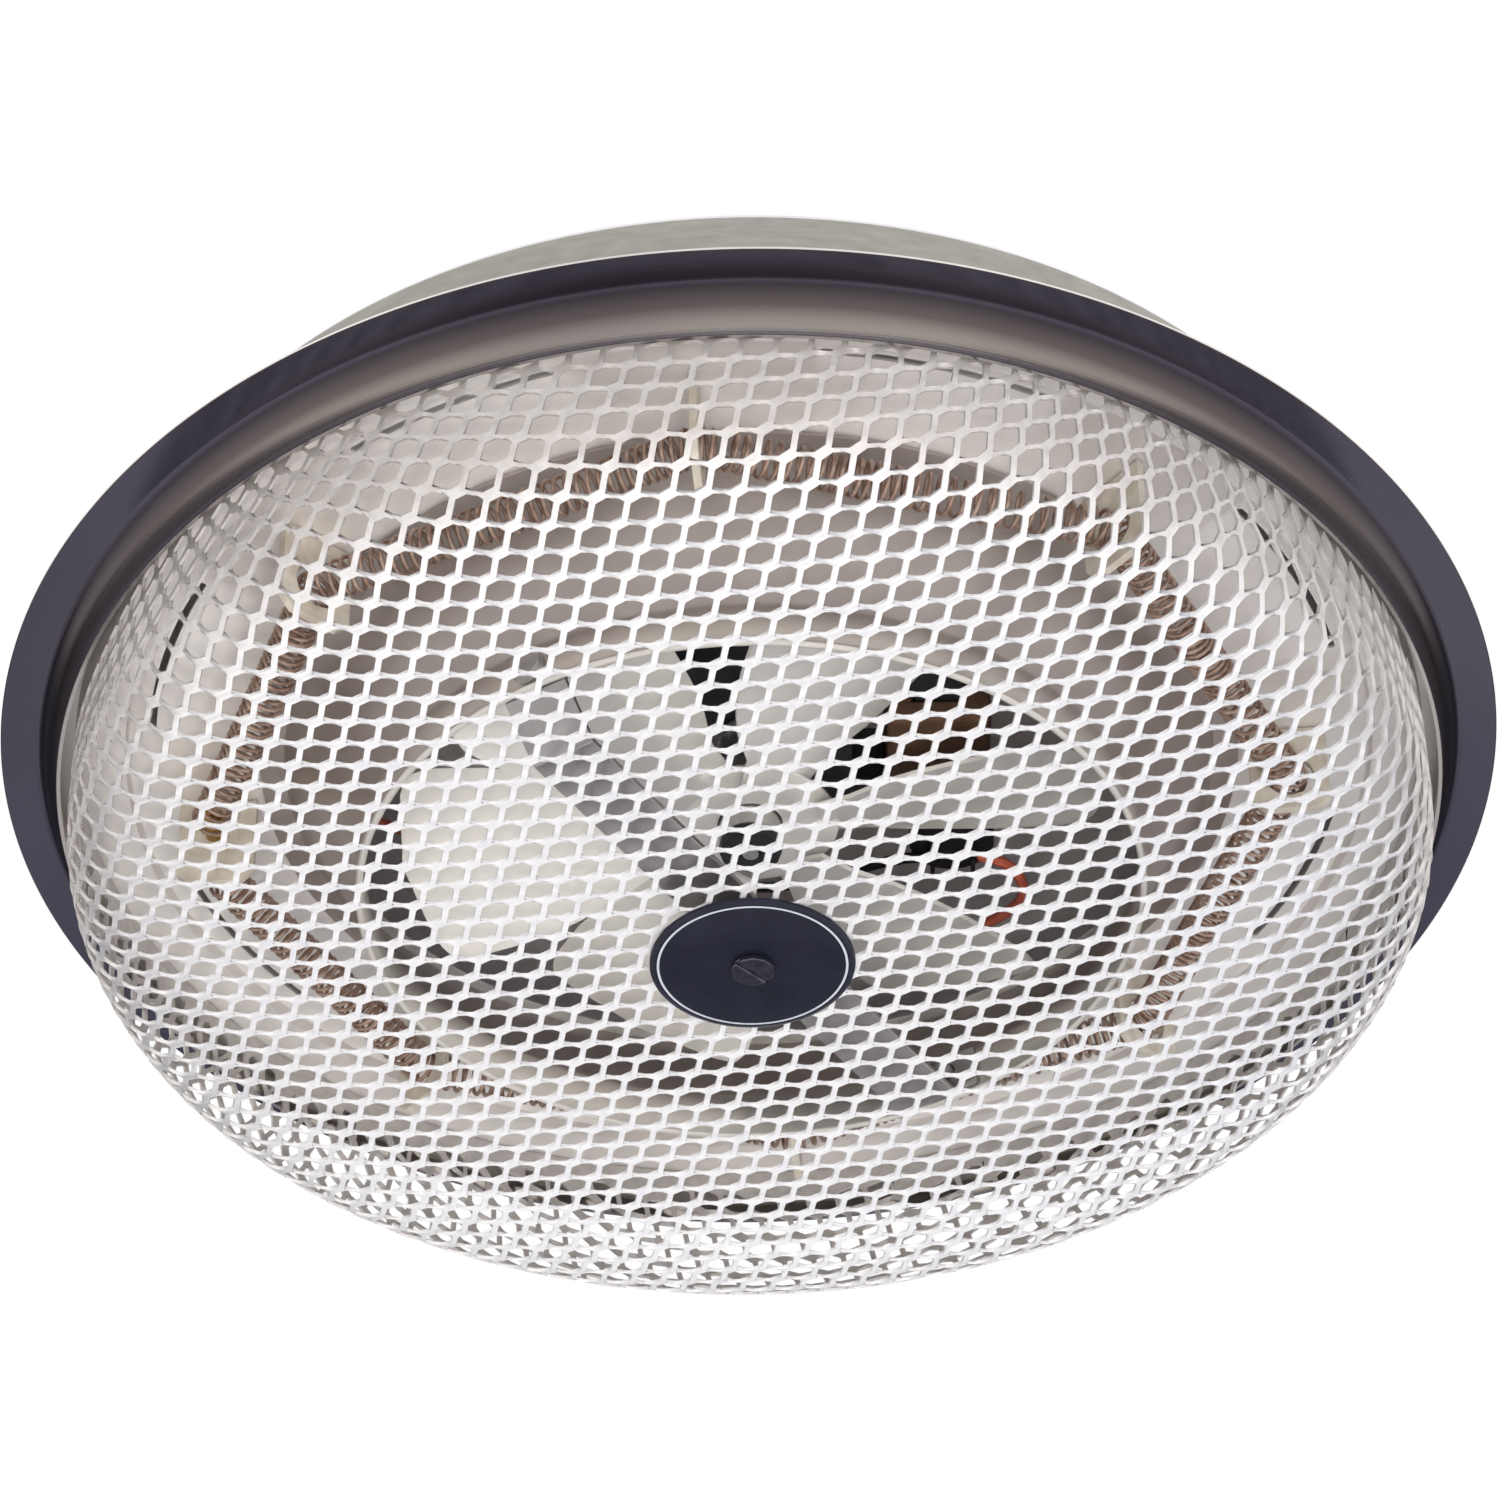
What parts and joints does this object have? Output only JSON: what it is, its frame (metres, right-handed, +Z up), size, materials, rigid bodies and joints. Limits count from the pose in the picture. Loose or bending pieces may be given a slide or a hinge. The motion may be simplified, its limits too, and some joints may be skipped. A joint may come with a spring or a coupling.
{
  "type": "bathroom ceiling heater",
  "caption": "Round ceiling heater: shallow can with trim ring, domed expanded-metal grille held by a centre screw, ring of heating coil round a fan and motor.",
  "frame": {"origin": "centre of the flat back of the can, which lies on the ceiling", "axes": "+Z up into the ceiling, along the fan's shaft; +X points away from the wiring entry"},
  "size_m": [0.286, 0.286, 0.0798],
  "materials": {
    "housing_satin": "satin, spun",
    "trim_polished": "polished, fine circular brushing",
    "reflector": "semi-bright",
    "zinc_steel": "zinc plated",
    "mica": "matt",
    "nichrome": "oxidised brown",
    "brass": "plain",
    "laminations": "oiled sheet",
    "winding_tape": "varnished tape",
    "black_plastic": "moulded",
    "blade_aluminium": "matt sheet",
    "expanded_aluminium": "bright",
    "badge_enamel": "gloss enamel",
    "ground_green": "passivated",
    "lead_white": "sleeved wire",
    "lead_black": "sleeved wire",
    "lead_red": "sleeved wire",
    "lead_blue": "sleeved wire"
  },
  "bodies": {
    "heater": {"housing_can": "housing_satin", "wiring_bushing": "black_plastic", "trim_ring": "trim_polished", "reflector_pan": "reflector", "fan_shroud": "reflector", "shroud_rivet_1": "zinc_steel", "shroud_rivet_2": "zinc_steel", "shroud_rivet_3": "zinc_steel", "terminal_plate": "mica", "insulator_1": "mica", "insulator_2": "mica", "insulator_3": "mica", "insulator_4": "mica", "insulator_5": "mica", "insulator_6": "mica", "insulator_7": "mica", "element_terminal_1": "brass", "element_terminal_2": "brass", "element_coil": "nichrome", "motor_bracket_upper": "zinc_steel", "motor_bracket_lower": "zinc_steel", "motor_stator": "laminations", "motor_winding": "winding_tape", "motor_screw_1": "zinc_steel", "motor_screw_2": "zinc_steel", "grille_crossbar": "zinc_steel", "crossbar_screw_1": "zinc_steel", "crossbar_screw_2": "zinc_steel", "crossbar_nut": "zinc_steel", "wiring_cover": "zinc_steel", "wiring_cover_screw": "zinc_steel", "ground_screw": "ground_green", "thermal_cutout": "black_plastic", "cutout_bracket": "zinc_steel", "lead_white": "lead_white", "lead_black": "lead_black", "lead_red": "lead_red", "lead_motor_1": "lead_blue", "lead_motor_2": "lead_blue"},
    "fan": {"motor_shaft": "zinc_steel", "motor_rotor": "laminations", "fan_hub": "zinc_steel", "fan_blades": "blade_aluminium", "fan_retainer": "black_plastic"},
    "grille": {"grille_mesh": "expanded_aluminium", "badge_plate": "badge_enamel", "badge_backing": "zinc_steel"},
    "grille_screw": {"grille_screw": "badge_enamel"}
  },
  "joints": [
    {"name": "fan_spin", "type": "hinge", "parent": "heater", "child": "fan", "pos_m": [0, 0, -0.0435], "axis": [0, 0, 1], "continuous": true},
    {"name": "grille_drop", "type": "slide", "parent": "heater", "child": "grille", "axis": [0, 0, -1], "range_m": [0, 0.07]},
    {"name": "grille_screw_turn", "type": "hinge", "parent": "grille", "child": "grille_screw", "pos_m": [0, 0, -0.0785], "axis": [0, 0, 1], "continuous": true}
  ]
}
